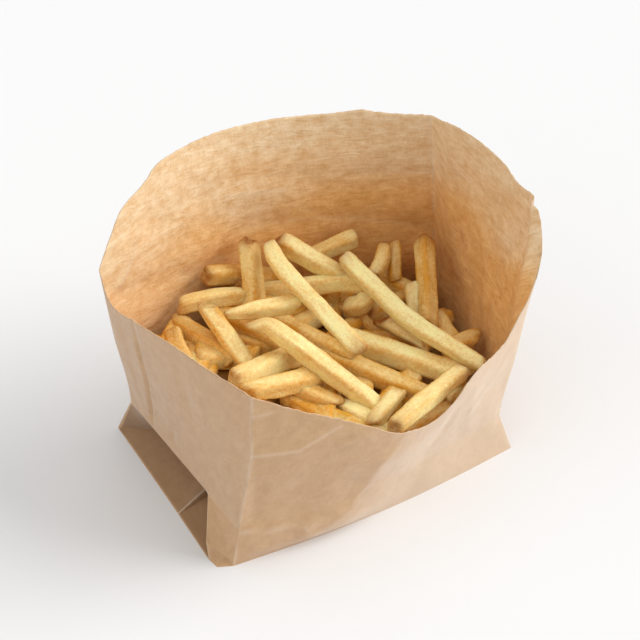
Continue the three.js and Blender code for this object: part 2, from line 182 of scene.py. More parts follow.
# Paper that has been handled. Its many faint folds, by panel: how many, and the way they run
# (degrees from level, and the spread of that). Then their half length, depth and half width.
HANDLING = {FRONT: (26, 25, 60), RIGHT: (34, 90, 28), BACK: (46, 4, 24), LEFT: (22, 80, 45)}
FAINT_FOLD = {"reach": (6, 26), "depth": (0.12, 0.5), "width": (3, 9)}
WAVE = {"out": 0.35, "length": 26}  # how the whole sheet waves
WORN_LINE = 0.8  # half width of the pale line that wear leaves along a fold
CORNER_LINE = {"width": 0.7, "length": 14}  # the same at a corner, and how long its worn bits are

# How pale the paper is made: 0 where it is fresh. Wear pales the faint folds, the corners and
# the tuck's crease; the ridge and ear folds get a painted highlight, the front's right a painted sheen.
SCUFF_AND_SHEEN = {"faint": 0.2, "corner": 0.8, "tuck": 0.35, "fold_highlight": 1.2, "pale_scuff_and_sheen": 0.75}

# Stains and painted shade. The layers of a tuck are darkened for their glue and as painted shade
# of the recess under the overhang. Grease soaks up from the fries: by height from soaked to dry,
# with an edge that wanders, and from the dry left to the greasy right.
PASTE_AND_SHADE = 0.8
GREASE = {"height": (62, 112), "wander": 8, "length": 30, "across": (-100, 60)}


# ---------------------------------------------------------------- the fries: driving dimensions

CORE_GAP = ((19, 12), (35, 5))  # the core stays this far inside the bag, by height
# Top of the core at the middle of the bag, and its rise for each mm to the back and right.
CORE_TOP = {"height": 41, "back": 0.12, "right": -0.09}
# The core's mesh. heights: of the rings up its side. columns: on each panel, between shares. top:
# size of the rings over its top. under: how far it lies under the slope, and rim: as much again
# at its rim. Its lumps have a height and a length.
CORE_MESH = {
    "heights": (1.3, CREASE_HEIGHT, 30.0), "columns": 24, "shares": (0.17, 0.83),
    "top": (1.0, 0.93, 0.86, 0.78, 0.7, 0.6, 0.5, 0.4, 0.3, 0.2, 0.1),
    "under": 2, "lump_height": 1.6, "lump_length": 13, "rim": 3,
}

WALL_GAP = 1.0  # a fry stays this far inside the bag
FRY_REACH = 5.0  # a fry of full size reaches this far from its middle line
SHORTEST_FRY = 12.0  # what is left of a fry by a wall is dropped if it is shorter

# The fries that lie half sunk in the top of the core, in rows from front to back.
BED = {
    "rows": 5, "columns": 6, "width": 54, "depth": 37, "wander": 7, "length": (36, 52),
    "swing": 62, "lift": (-1, 3.5), "size": (0.85, 1.05), "tone": (0.5, 0.8),
}

# The fries that show, from the lowest to the highest. points: the middle line. size: side of
# the section as a share of the cut. tone: from pale 0 to golden 1. tips: how brown the ends are.
# roll: turn of the section about the line, in degrees. taper: size of the ends.
Fry = namedtuple("Fry", "points size tone tips roll taper",
                 defaults=(1.0, 0.35, (0.5, 0.5), 0, (1, 1)))
FRIES = (
    Fry(((30, -39, 34), (47, -34, 34))),
    Fry(((8, -46, 37), (34, -43, 35))),
    Fry(((52, -15, 39), (65, -18, 40)), 0.95, 0.5),
    Fry(((56, -16, 37), (59, 4, 40)), 1.0, 0.5),
    Fry(((32, 3, 50), (41, -16, 45)), 0.85, 0.15, (1.0, 0.2), 20, (0.9, 0.5)),
    Fry(((-22, -9, 43), (-12, -31, 41)), 1.0, 0.6),
    Fry(((-6, -19, 43), (4, -45, 37)), 1.0, 0.0, (0.0, 0.0), 10, (0.35, 1)),
    Fry(((2, 3, 46), (31, -39, 38)), 1.0, 0.6),
    Fry(((13, 8, 47), (47, -37, 42)), 1.12, 0.15),
    Fry(((-23, 25, 48), (-4, 7, 45)), 1.0, 0.7),
    Fry(((-22, -4, 49), (-8, -25, 44)), 1.0, 0.6),
    Fry(((-7, 34, 50), (12, -9, 44)), 1.05, 0.6),
    Fry(((26, 25, 45), (32, 8, 40)), 0.8, 0.5),
    Fry(((55, 14, 51), (48, -1, 43)), 0.9, 0.2, (0.3, 0.3), 20),
    Fry(((49.5, 37.5, 46), (61, 8, 42)), 0.95, 0.5),
    Fry(((59, 34, 58), (53, 24, 47)), 0.7, 0.7, (0.6, 0.3)),
    Fry(((68, 25, 63), (49, -6, 44)), 0.95, 0.65, (1.0, 0.3), 45),
    Fry(((-45, 19, 52), (-26, 14, 47)), 1.0, 0.45),
    Fry(((-49, 30, 62), (-49, 20, 50)), 1.0, 0.5, (0.5, 0.3), 20),
    Fry(((-42, 41, 54), (-30, 10, 50)), 1.0, 0.7, (0.6, 0.3)),
    Fry(((-26, 40, 54), (-8, 6, 49)), 1.0, 0.7),
    Fry(((-24, 40, 54), (0, 33, 51)), 0.9, 0.6),
    Fry(((-11, 46, 58), (-11, 42, 46)), 0.8, 0.6),
    Fry(((-24, 48, 66), (-8, 48, 60), (16, 44, 49)), 1.0, 0.5, (0.7, 0.4), 10),
    Fry(((-39, 43, 60), (-11, 36, 58)), 0.85, 0.35, (0.4, 0.3)),
    Fry(((-3, 49, 75), (-7, 39, 65), (-13, 27, 51)), 1.0, 0.35, (0.8, 0.3), 40),
    Fry(((-40, -13, 57), (-6, -12, 49)), 0.95, 0.35, (0.3, 0.3)),
    Fry(((-42, -6, 59), (-3, 4, 48)), 1.0, 0.2, (0.5, 0.3)),
    Fry(((-33, 31, 66), (-31, 19, 59), (-28, 5, 50)), 0.9, 0.3, (0.5, 0.3), 15),
    Fry(((-28, 24, 64), (-15, 20, 64), (2, 17, 62)), 0.85, 0.25, (0.5, 0.2), 0, (0.5, 1)),
    Fry(((22, 46, 57), (44, 40, 64)), 0.9, 0.25, (0.3, 0.3)),
    Fry(((54, 34, 60), (49, 28, 58), (42, 24, 54)), 0.75, 0.45, (0.5, 0.3)),
    Fry(((-5, 43, 53), (14, 30, 57), (29, 22, 58), (34, 16, 55), (30, 14, 52), (25, 18, 49)),
        0.9, 0.2, (0.3, 0.6)),
    Fry(((9, 47, 72), (31, 23, 56)), 0.95, 0.1, (0.9, 0.3), 10),
    Fry(((-1, -41, 43), (16, -34, 47)), 0.75, 0.2),
    Fry(((-23, 12, 63), (-18, 8, 65), (-15, 0, 64), (-7, -13, 56), (7, -34, 42)), 0.92, 0.1,
        (0.5, 0.2), 15, (0.7, 1)),
    Fry(((42, -40, 50), (1, -52, 49)), 0.86, 0.3, (0.7, 0.5)),
    Fry(((29, 27, 68), (33, 8, 62), (38, -12, 56), (52, -42, 48)), 0.88, 0.12, (0.7, 0.3), 20,
        (1, 0.85)),
    Fry(((2, 40, 77), (0, 28, 74), (4, 11, 67), (9, -18, 58)), 0.92, 0.05, (0.6, 0.5), 20,
        (0.8, 1.08)),
)

# Browned spots on the fries, as a place in mm and a radius.
SPOTS = (((31, 17, 53), 4.5), ((4, -24, 54), 1.8), ((69, 26, 60), 3.0))

# Near an end the section shrinks to close the cut: distance in from the end, share of the size.
END_PROFILE = ((0.0, 0.45), (0.12, 0.66), (0.45, 0.82), (1.0, 0.91), (1.9, 0.97), (3.2, 1.0))

# How one fry differs from the next. sway and arch: bow to the sides and up. swell: unevenness of
# its thickness. turn and twist: of its section, in radians. tone: as for a fry. askew: slope of
# its cut ends. browned and slanted: how far in from an end its brown and its slope reach.
VARIETY = {
    "sway": 0.7, "arch": 1.2, "swell": 0.05, "turn": 0.15, "twist": 0.25, "tone": 0.08,
    "askew": 0.5, "browned": 2.6, "slanted": 4,
}


# ------------------------------------------------------------------------- numbers and noise


def linear(code):
    """A linear RGBA colour from an sRGB hex value."""
    channels = (int(code[i:i + 2], 16) / 255 for i in (1, 3, 5))
    rgb = (c / 12.92 if c <= 0.04045 else ((c + 0.055) / 1.055) ** 2.4 for c in channels)
    return (*rgb, 1.0)


def smooth(table, x, column=1):
    """Value at x of a table, on a smooth curve that never swings past its rows."""
    rows = np.array(table, float)
    at, value = rows[:, 0], rows[:, column]
    step, slope = np.diff(at), np.diff(value) / np.diff(at)
    tangent = np.zeros_like(value)
    same_way = slope[1:] * slope[:-1] > 0
    weight = step[1:] + step[:-1]
    with np.errstate(divide="ignore", invalid="ignore"):
        mean = 3 * weight / ((weight + step[1:]) / slope[:-1] + (weight + step[:-1]) / slope[1:])
    tangent[1:-1] = np.where(same_way, mean, 0)
    tangent[0], tangent[-1] = slope[0], slope[-1]
    x = np.clip(x, at[0], at[-1])
    i = np.clip(np.searchsorted(at, x, side="right") - 1, 0, len(step) - 1)
    t = (x - at[i]) / step[i]
    bend = (1 - t) * tangent[i] * t * (1 - t) * step[i] - t * tangent[i + 1] * t * (1 - t) * step[i]
    return value[i] + (value[i + 1] - value[i]) * t * t * (3 - 2 * t) + bend


def smoothstep(x, low, high):
    """Rises softly from 0 at low to 1 at high."""
    t = np.clip((x - low) / (high - low), 0, 1)
    return t * t * (3 - 2 * t)


def park_miller(seed):
    """Even numbers from 0 to 1, the same on every run."""
    while True:
        seed = seed * 16807 % 2147483647
        yield seed / 2147483647


def waves(x, y, length, draw, count=14):
    """Gentle unevenness from -1 to 1 with humps about a length apart."""
    angle, phase = draw.uniform(0, 2 * math.pi, (2, count))
    pitch = length * draw.uniform(0.7, 1.6, count)
    total = np.zeros(np.broadcast(x, y).shape)
    for a, p, wide in zip(angle, phase, pitch):
        total += np.cos((x * math.cos(a) + y * math.sin(a)) * 2 * math.pi / wide + p)
    return total / math.sqrt(count) / 1.5


# --------------------------------------------------------------------------- small Blender tools


def add(tree, kind, links=None, **settings):
    """A new node with its settings, and its inputs given a value or joined to a socket."""
    node = tree.nodes.new(kind)
    for name, value in settings.items():
        setattr(node, name, value)
    for key, value in (links or {}).items():
        if isinstance(value, bpy.types.NodeSocket):
            tree.links.new(value, node.inputs[key])
        else:
            node.inputs[key].default_value = value
    return node


def maths(tree, operation, a, b=0.0, c=0.0, clamp=False):
    """The result of a sum on sockets or numbers."""
    return add(tree, "ShaderNodeMath", {0: a, 1: b, 2: c}, operation=operation,
               use_clamp=clamp).outputs[0]


def noise(tree, place, scale, detail, strain=None, **more):
    """Noise at a place, with a draw of its own for each strain."""
    if strain is not None:
        return add(tree, "ShaderNodeTexNoise",
                   {"Vector": place, "Scale": scale, "Detail": detail, "W": strain, **more},
                   noise_dimensions="4D").outputs[0]
    return add(tree, "ShaderNodeTexNoise",
               {"Vector": place, "Scale": scale, "Detail": detail, **more}).outputs[0]


def smaller(tree, first, second):
    """The smaller of two numbers, whatever their signs."""
    sizes = (maths(tree, "ABSOLUTE", number) for number in (first, second))
    return maths(tree, "MINIMUM", *sizes)


def times(tree, vector, factor):
    """A vector made longer by a factor."""
    return add(tree, "ShaderNodeVectorMath", {0: vector, "Scale": factor},
               operation="SCALE").outputs[0]


def mixed(tree, share, first, second, blend="MIX"):
    """A colour between two, by the share of the second."""
    return add(tree, "ShaderNodeMix", {0: share, 6: first, 7: second}, data_type="RGBA",
               blend_type=blend).outputs[2]


def scaled(tree, place, scale):
    """A place with each of its measures scaled."""
    return add(tree, "ShaderNodeMapping", {"Vector": place, "Scale": scale}).outputs[0]


def attribute(tree, name):
    """A measure kept on the points of the mesh."""
    return add(tree, "ShaderNodeAttribute", attribute_name=name).outputs["Fac"]


def new_material(name):
    """A material with an empty node tree and its output."""
    material = bpy.data.materials.new(name)
    material.use_nodes = True
    material.node_tree.nodes.clear()
    return material, material.node_tree, material.node_tree.nodes.new("ShaderNodeOutputMaterial")


def new_object(name, vertices, faces, *materials):
    """A smooth mesh object from points in mm."""
    mesh = bpy.data.meshes.new(name)
    mesh.from_pydata([tuple(p * MM) for p in np.asarray(vertices, float)], [], faces)
    mesh.shade_smooth()
    for material in materials:
        mesh.materials.append(material)
    piece = bpy.data.objects.new(name, mesh)
    bpy.context.scene.collection.objects.link(piece)
    return piece


def apply_modifiers(piece):
    """Makes what the modifiers show the object's own mesh."""
    graph = bpy.context.evaluated_depsgraph_get()
    plain = bpy.data.meshes.new_from_object(piece.evaluated_get(graph))
    plain.name = piece.name
    piece.modifiers.clear()
    piece.data = plain


def keep_measure(mesh, name, numbers):
    """Keeps a number for each point of a mesh under a name."""
    values = np.asarray(numbers, "f")
    mesh.attributes.new(name, "FLOAT", "POINT").data.foreach_set("value", values)


def finish_piece(piece, node):
    """The piece rides with the part and stands for a node."""
    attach(piece, BODY)
    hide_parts(node)


# ------------------------------------------------------------------------------ shape of the bag


def wall(panel_index, share, height, stand_out=0.0):
    """Points on the outside of a panel, at shares of its length and heights."""
    panel = PANELS[panel_index]
    start, end = (
        np.stack([smooth(CORNERS[name], height, 1), smooth(CORNERS[name], height, 2)], -1)
        for name in panel.corners
    )
    along = end - start
    outward = np.stack([along[..., 1], -along[..., 0]], -1)
    outward /= np.linalg.norm(outward, axis=-1, keepdims=True)
    offset = stand_out + smooth(panel.bulge, height) * np.sin(np.pi * share)
    if panel_index == RIGHT:
        grown = smoothstep(height, NOTCH["from"], NOTCH["full"])
        offset = offset - NOTCH["depth"] * grown * np.exp(
            -(((share - NOTCH["share"]) / NOTCH["width"]) ** 2))
    plan = start + along * share[..., None] + outward * offset[..., None]
    return np.concatenate([plan, np.broadcast_to(height, share.shape)[..., None]], -1)


def panel_length(panel_index):
    """Length of a panel along its outside, half way up."""
    share = np.linspace(0, 1, 30)
    points = wall(panel_index, share, np.full(share.shape, HALF_WAY_UP))
    return np.linalg.norm(np.diff(points, axis=0), axis=1).sum()


def distance_to_line(x, y, points):
    """Distance from places on a panel to a line through points, all in mm."""
    nearest = np.full(np.broadcast(x, y).shape, 1e9)
    for (ax, ay), (bx, by) in zip(points[:-1], points[1:]):
        dx, dy = bx - ax, by - ay
        t = np.clip(((x - ax) * dx + (y - ay) * dy) / (dx * dx + dy * dy), 0, 1)
        nearest = np.minimum(nearest, np.hypot(x - ax - t * dx, y - ay - t * dy))
    return nearest


def paper_relief(panel_index, share, height, draw):
    """How far the creased paper stands out of a panel, and how pale wear and a painted sheen make it, at
    each place.
    """
    length = panel_length(panel_index)
    x, y = share * length, height
    out, worn = WAVE["out"] * waves(x, y, WAVE["length"], draw), np.zeros(x.shape)
    count, way, spread = HANDLING[panel_index]
    for _ in range(count):
        middle = np.array([draw.uniform(0, length), draw.uniform(15, 115)])
        angle = math.radians(draw.normal(way, spread))
        along = np.array([math.cos(angle), math.sin(angle)])
        reach = draw.uniform(*FAINT_FOLD["reach"]) * along
        depth = draw.choice((-1, 1)) * draw.uniform(*FAINT_FOLD["depth"])
        away = distance_to_line(x, y, (middle - reach, middle + reach))
        out += depth * np.clip(1 - away / draw.uniform(*FAINT_FOLD["width"]), 0, 1)
        worn += abs(depth) * np.exp(-((away / WORN_LINE) ** 2)) * SCUFF_AND_SHEEN["faint"]
    for crease in (c for c in CREASES if c.panel == panel_index):
        away = distance_to_line(x, y, [(s * length, z) for s, z in crease.points])
        out += crease.out * np.clip(1 - away / crease.width, 0, 1)
        worn += crease.pale * np.exp(-((away / WORN_LINE) ** 2))
    if panel_index == FRONT:
        # To the right of its long crease the front is painted pale: a painted sheen where the light
        # from the right grazes it.
        line = sorted(CREASES[0].points, key=lambda place: place[1])
        edge = np.interp(height, [z for _, z in line], [s for s, _ in line])
        beyond = share - edge
        pale_scuff_and_sheen = 0.5 * smoothstep(beyond, -0.01, 0.025) + 0.5 * smoothstep(beyond, 0, 0.3)
        worn += SCUFF_AND_SHEEN["pale_scuff_and_sheen"] * pale_scuff_and_sheen
    to_corner = np.minimum(share, 1 - share) * length
    out *= smoothstep(to_corner, 0, 4)
    bits = smoothstep(waves(x, y, CORNER_LINE["length"], draw), -0.8, 0.6)
    worn += SCUFF_AND_SHEEN["corner"] * np.exp(-((to_corner / CORNER_LINE["width"]) ** 2)) * bits
    return out, worn


def from_the_back(panel_index, share):
    """Shares of a side panel counted from its back, or such shares as its own."""
    return share if panel_index == LEFT else 1 - share


def panel_shares(panel_index, step):
    """Where the columns of a panel stand: evenly, and close by its folds."""
    length = panel_length(panel_index)
    even = np.linspace(0, 1, max(2, round(length / step)), endpoint=False)
    tucks = np.array([row.share for row in TUCKS.get(panel_index, ())[1:-1]])
    folds = np.array([0, 1, *from_the_back(panel_index, tucks)])
    beside = FOLD_COLUMNS["beside"] / length
    near = np.concatenate([folds - beside, folds, folds + beside])
    kept = [s for s in even if np.abs(folds - s).min() > FOLD_COLUMNS["clear"] / length]
    return np.unique(np.round([*kept, *(s for s in near if 0 <= s < 1)], 6))


def tuck_lines(panel_index, share):
    """Feet and toes of the columns of a panel, on straight lines between the rows of its tuck."""
    if panel_index not in TUCKS:
        foot = wall(panel_index, share, np.zeros(share.shape))
        toe = (foot + wall(panel_index, share, np.full(share.shape, CREASE_HEIGHT))) / 2
        foot[0], toe[0] = (
            line[0] for line in tuck_lines((panel_index - 1) % len(PANELS), np.array([1.0])))
        return foot, toe
    feet, toes = [], []
    for row in TUCKS[panel_index]:
        own = from_the_back(panel_index, np.array([row.share, row.foot[0]]))
        foot = wall(panel_index, own[1:], np.zeros(1), row.foot[1])[0]
        crease = wall(panel_index, own[:1], np.full(1, CREASE_HEIGHT))[0]
        if isinstance(row.toe, tuple):
            at = from_the_back(panel_index, np.array([row.toe[0]]))
            toe = wall(panel_index, at, np.full(1, CREASE_HEIGHT), row.toe[1])[0]
            toe[2] = row.toe[2]
        else:
            toe = foot + (crease - foot) * row.toe
        feet.append(foot)
        toes.append(toe)
    at, rows = from_the_back(panel_index, share), [row.share for row in TUCKS[panel_index]]
    return tuple(np.stack([np.interp(at, rows, np.array(line)[:, k]) for k in range(3)], -1)
                 for line in (feet, toes))


def panel_grid(panel_index, settings, draw):
    """Columns of points from the foot up to the mouth of a panel, how pale wear, painted highlights
    and sheen make each, and how dark glue and painted shade make it.
    """
    share = panel_shares(panel_index, settings.face_size / MM)
    low = np.full(share.shape, CREASE_HEIGHT)
    crease = wall(panel_index, share, low)
    foot, toe = tuck_lines(panel_index, share)
    # The cut edge is torn finely and coarsely, but not at the corners.
    torn = sum(waves(share * 300, 0, coarse, draw) for coarse in (3.2, 9))
    torn *= settings.torn_edge / MM * smoothstep(np.minimum(share, 1 - share), 0, 0.02)
    mouth = smooth(PANELS[panel_index].mouth, share) + torn
    climb = np.concatenate([[0.006, 0.014], np.linspace(0.03, 1, settings.wall_rows)])
    lower = foot[:, None] + (toe - foot)[:, None] * FOLD_STEPS[None, :, None]
    upper = toe[:, None] + (crease - toe)[:, None] * FOLD_STEPS[None, :, None]
    fold = np.concatenate([lower, upper, crease[:, None]], 1)
    height = np.concatenate([fold[..., 2], low[:, None] + (mouth - low)[:, None] * climb[None, :]], 1)
    shares = np.broadcast_to(share[:, None], height.shape)
    out, worn = paper_relief(panel_index, shares, height, draw)
    flat_below = CREASE_HEIGHT if panel_index in TUCKS else 0
    out *= smoothstep(height, flat_below, flat_below + 6)
    out *= 1 - 0.7 * smoothstep(height / mouth[:, None], 0.7, 1.0)
    rows = fold.shape[1]
    outward = wall(panel_index, share, low, 1.0) - crease
    fold += outward[:, None] * out[:, :rows, None]
    rise = wall(panel_index, shares[:, rows:], height[:, rows:], out[:, rows:])
    glued = np.zeros(worn.shape)
    if panel_index in TUCKS:
        worn[:, :rows] = 0
        worn[:, CREASE_ROW] = SCUFF_AND_SHEEN["tuck"]
        at = from_the_back(panel_index, share)
        # The tuck under its crease is darkened for its glue and as painted shade of its recess.
        glued[(at > 0.01) & (at < EAR_FOLD.share - 0.01), 1:CREASE_ROW] = PASTE_AND_SHADE
    if panel_index == LEFT:
        dent = EAR["dent"] * smoothstep(share, *EAR["grows"]) * (1 - smoothstep(share, *EAR["fades"]))
        dents = dent[:, None] * np.sin(np.pi * FOLD_STEPS[None, :] ** 0.8)
        fold[:, :TOE_ROW] -= outward[:, None] * dents[..., None]
        # A painted highlight pales the ridge and the fold of the ear.
        for row, reach in ((RIDGE_FOLD, TOE_ROW), (EAR_FOLD, CREASE_ROW + 1)):
            worn[np.abs(share - row.share).argmin(), :reach] = SCUFF_AND_SHEEN["fold_highlight"]
    return np.concatenate([fold, rise], 1), worn, glued, share


def bag_shell(settings):
    """The outside of the bag: its points, faces, the paper's own measures as UVs, marks and folds.

    The marks are wear with painted highlights and sheen, glue with painted shade, and grease.

    The folds are how many rows each column has, and which columns are tucked in and folded.
    """
    draw = np.random.default_rng(settings.seed)
    grids, scuffed_and_sheened_panels, pasted_and_shaded_panels, girth, tucked, folded = [], [], [], [], [], []
    start = 0.0
    for index in range(len(PANELS)):
        grid, worn, glued, share = panel_grid(index, settings, draw)
        length = panel_length(index)
        at = from_the_back(index, share)
        at_fold = [np.abs(at - row.share).argmin() for row in TUCKS.get(index, ()) if row.fold]
        tucked.append(np.full(share.shape, index in TUCKS))
        folded.append(tucked[-1] & np.isin(np.arange(len(share)), at_fold))
        grids.append(grid)
        scuffed_and_sheened_panels.append(worn)
        pasted_and_shaded_panels.append(glued)
        girth.append(start + share * length)
        start += length
    columns, worn = np.concatenate(grids), np.concatenate(scuffed_and_sheened_panels)
    girth = np.append(np.concatenate(girth), start)
    count, rows = columns.shape[:2]
    rise = np.zeros((count, rows))
    rise[:, 1:] = np.cumsum(np.linalg.norm(np.diff(columns, axis=1), axis=2), 1)

    # Inside the rim that the bag stands on, the base is carried a flap's thickness up.
    middle = columns[:, 0].mean(0)
    lift = settings.flap_thickness / MM
    rings = []
    for share in BASE_RINGS:
        ring = columns[:, 0] + (middle - columns[:, 0]) * share
        ring[:, 2] = lift if rings else 0
        rings.append(ring)
    points = [columns.reshape(-1, 3), *rings, np.array([[middle[0], middle[1], lift]])]
    vertices = np.concatenate(points)
    faces, uvs = [], []

    for c in range(count):
        after = (c + 1) % count
        for r in range(rows - 1):
            faces.append((c * rows + r, after * rows + r, after * rows + r + 1, c * rows + r + 1))
            uvs += [(girth[c + i] * MM, rise[(c + i) % count, r + j] * MM)
                    for i, j in ((0, 0), (1, 0), (1, 1), (0, 1))]
    first = count * rows
    ring_count = len(points) - 2
    for c in range(count):
        after = (c + 1) % count
        loop = [(c * rows, after * rows)]
        loop += [(first + k * count + c, first + k * count + after) for k in range(ring_count)]
        for (a, b), (d, e) in zip(loop[:-1], loop[1:]):
            faces.append((b, a, d, e))
        a, b = loop[-1]
        faces.append((b, a, len(vertices) - 1))
    for face in faces[count * (rows - 1):]:
        uvs += [tuple(vertices[v][:2] * MM) for v in face]
    base = np.zeros(len(vertices) - first)
    scuff_and_sheen_strength = np.concatenate([worn.reshape(-1), base])
    marks = {"worn": scuff_and_sheen_strength, "glued": np.concatenate([np.concatenate(pasted_and_shaded_panels).reshape(-1), base]),
             "greasy": grease(vertices)}
    return vertices, faces, uvs, marks, (rows, np.concatenate(tucked), np.concatenate(folded))


def grease(vertices):
    """How greasy the paper is: more so near the fries and to the right."""
    x, y, z = np.array(vertices).T
    wander = GREASE["wander"] * waves(x + y, z, GREASE["length"], np.random.default_rng(2))
    soaked = 1 - smoothstep(z + wander, *GREASE["height"])
    soaked *= smoothstep(x + 0.6 * y, *GREASE["across"])
    return soaked * smoothstep(z, CREASE_HEIGHT, CREASE_HEIGHT + 4)


def crisp_folds(mesh, rows, tucked, folded):
    """Marks as crisp the edge that the bag stands on and the folds of both tucks."""
    ends = np.zeros(len(mesh.edges) * 2, "i")
    mesh.edges.foreach_get("vertices", ends)
    column, row = (part.reshape(-1, 2) for part in np.divmod(ends, rows))
    on_wall = (column < len(tucked)).all(1)
    column = np.minimum(column, len(tucked) - 1)
    level, upright = row[:, 0] == row[:, 1], column[:, 0] == column[:, 1]
    tuck = np.isin(row[:, 0], (TOE_ROW, CREASE_ROW)) & tucked[column].all(1)
    crisp = level & ((row[:, 0] == 0) | tuck)
    crisp |= upright & folded[column[:, 0]] & (row.max(1) <= CREASE_ROW)
    mesh.attributes.new("sharp_edge", "BOOLEAN", "EDGE").data.foreach_set("value", crisp & on_wall)


# ------------------------------------------------------------------------- finish of the paper


# The sides of the paper. colour: the setting of its colour, which has a "cloud" beside it. stain:
# the measure that says where it is darkened, by grease on the inside and by glue and painted shade
# on the outside and the cut edge. tint: the setting of that darkening's colour. crumple: how
# strong the level wrinkles are.
Side = namedtuple("Side", "material colour stain tint roughness gloss sheen crumple")
SIDES = (
    # Pressed smooth, with a faint bloom of fibres where light grazes it. Darkened in the tucks for
    # glue and as painted shade.
    Side("kraft_paper_outside_machine_finished", "outside", "glued", "paste_and_shade_tint", 0.6, 0.3, 0.45, 0.3),
    # Rougher, wrinkled, and darker and more yellow where it is greasy.
    Side("kraft_paper_inside_rough", "inside", "greasy", "grease", 0.7, 0.2, 0.1, 2.0),
    # Bare fibres, paler than both faces.
    Side("kraft_paper_cut_edge", "cut_edge", "glued", "paste_and_shade_tint", 0.9, 0.2, 0.2, 0),
)


def kraft_paper(side, settings):
    """Unbleached kraft paper as the machine leaves it.

    It gives the eye a matt tan sheet with long fibres lying both ways, cloudy where the pulp is
    denser, and paler along worn creases where fibres stand up. One fibre is too fine to show, so
    bundles of fibres are drawn instead.
    """
    material, tree, out = new_material(side.material)
    clean, cloudy, stain_and_shade, pale_scuff_and_sheen = (
        (*getattr(settings, name), 1)
        for name in (side.colour, side.colour + "_cloud", side.tint, "pale_scuff_and_sheen"))
    sheet = add(tree, "ShaderNodeUVMap", uv_map="paper").outputs["UV"]
    bundle, cloud_size, crumple = settings.fibre_width, settings.cloud_size, side.crumple
    weft = noise(tree, scaled(tree, sheet, (0.16 / bundle, 1 / bundle, 1)), 1.0, 2.0)
    warp = noise(tree, scaled(tree, sheet, (1 / bundle, 0.2 / bundle, 1)), 1.0, 2.0)
    fibres = maths(tree, "ADD", weft, warp)
    cloud = noise(tree, sheet, 1 / cloud_size, 4.0, Roughness=0.6)
    streak = noise(tree, scaled(tree, sheet, (0.3, 1, 1)), 1 / settings.streak_width, 3.0,
                   Roughness=0.65, Distortion=1.2)
    wrinkle = noise(tree, sheet, 1 / (cloud_size * 1.6), 3.0, Distortion=0.6)

    # Colour: the pulp's clouds, then stains and painted shade, then what wear, painted highlights and
    # sheen make pale.
    density = maths(tree, "MULTIPLY_ADD", fibres, 0.34, cloud)
    density = maths(tree, "MULTIPLY_ADD", streak, crumple * 0.35, density)
    even = add(tree, "ShaderNodeMapRange",
               {"Value": density, "From Min": 0.58 + crumple * 0.175,
                "From Max": 1.08 + crumple * 0.175}).outputs[0]
    tan = mixed(tree, even, cloudy, clean)
    tan = mixed(tree, attribute(tree, side.stain), tan, stain_and_shade, "MULTIPLY")
    pale = maths(tree, "MULTIPLY", attribute(tree, "worn"), settings.scuff_and_sheen_strength, clamp=True)
    tan = mixed(tree, pale, tan, pale_scuff_and_sheen)

    # Relief: wrinkles under the fibres.
    height = maths(tree, "MULTIPLY_ADD", streak, crumple, wrinkle)
    soft = add(tree, "ShaderNodeBump",
               {"Strength": 0.5, "Distance": settings.wrinkle_depth, "Height": height})
    fine = add(tree, "ShaderNodeBump",
               {"Strength": 0.35, "Distance": bundle * 0.25, "Height": fibres,
                "Normal": soft.outputs[0]})
    skin = add(tree, "ShaderNodeBsdfPrincipled",
               {"Base Color": tan, "Roughness": side.roughness, "IOR": 1.5,
                "Specular IOR Level": side.gloss, "Normal": fine.outputs[0],
                "Sheen Weight": side.sheen, "Sheen Roughness": 0.5})
    tree.links.new(skin.outputs[0], out.inputs["Surface"])
    return material


# --------------------------------------------------------------------------- shape of the fries


def inside_room(place, gap, height):
    """Whether a place in plan is inside the bag, and clear of its walls by a gap, at a height."""
    share = np.linspace(0, 1, 12, endpoint=False)
    level = np.full(share.shape, height)
    loop = np.concatenate([wall(i, share, level)[:, :2] for i in range(len(PANELS))])
    edge, away = np.roll(loop, -1, axis=0) - loop, np.array(place) - loop
    along = np.clip((away * edge).sum(1) / (edge * edge).sum(1), 0, 1)
    distance = np.linalg.norm(away - edge * along[:, None], axis=1).min()
    # Inside, a line to the right crosses the walls an odd number of times.
    meets = (away[:, 1] < 0) != (np.roll(away[:, 1], -1) < 0)
    to_the_right = away[meets, 1] * edge[meets, 0] / edge[meets, 1] > away[meets, 0]
    return distance > gap and to_the_right.sum() % 2 == 1


def core_top(x, y):
    """Height of the slope that the bed of fries lies on."""
    return CORE_TOP["height"] + CORE_TOP["back"] * y + CORE_TOP["right"] * x


def packed_core():
    """Points and faces of the core: rings up its side, then over its lumpy top."""
    columns, (bottom, *_) = CORE_MESH["columns"], CORE_MESH["heights"]
    share = np.linspace(*CORE_MESH["shares"], columns)
    rings = []
    for height in CORE_MESH["heights"]:
        level = np.full(columns, max(height, CREASE_HEIGHT))
        gap = np.interp(height, *zip(*CORE_GAP))
        ring = np.concatenate([wall(i, share, level, -gap) for i in range(len(PANELS))])
        ring[:, 2] = height
        rings.append(ring)
    rim = rings[-1]
    for scale in CORE_MESH["top"]:
        ring = rim * np.array([scale, scale, 1])
        lumps = waves(ring[:, 0], ring[:, 1] * 1.4, CORE_MESH["lump_length"],
                      np.random.default_rng(5))
        under = CORE_MESH["under"] + CORE_MESH["rim"] * (scale == 1)
        ring[:, 2] = core_top(ring[:, 0], ring[:, 1]) - under + CORE_MESH["lump_height"] * lumps
        rings.append(ring)

    size, last = len(rim), (len(rings) - 1) * len(rim)
    under, over = len(rings) * size, len(rings) * size + 1
    faces = []
    for i in range(size):
        j = (i + 1) % size
        faces += [(k + i, k + j, k + size + j, k + size + i) for k in range(0, last, size)]
        faces += [(j, i, under), (last + i, last + j, over)]
    middle = [[0, 0, bottom]], [[0, 0, core_top(0, 0) - CORE_MESH["under"]]]
    return np.concatenate([*rings, *middle]), faces


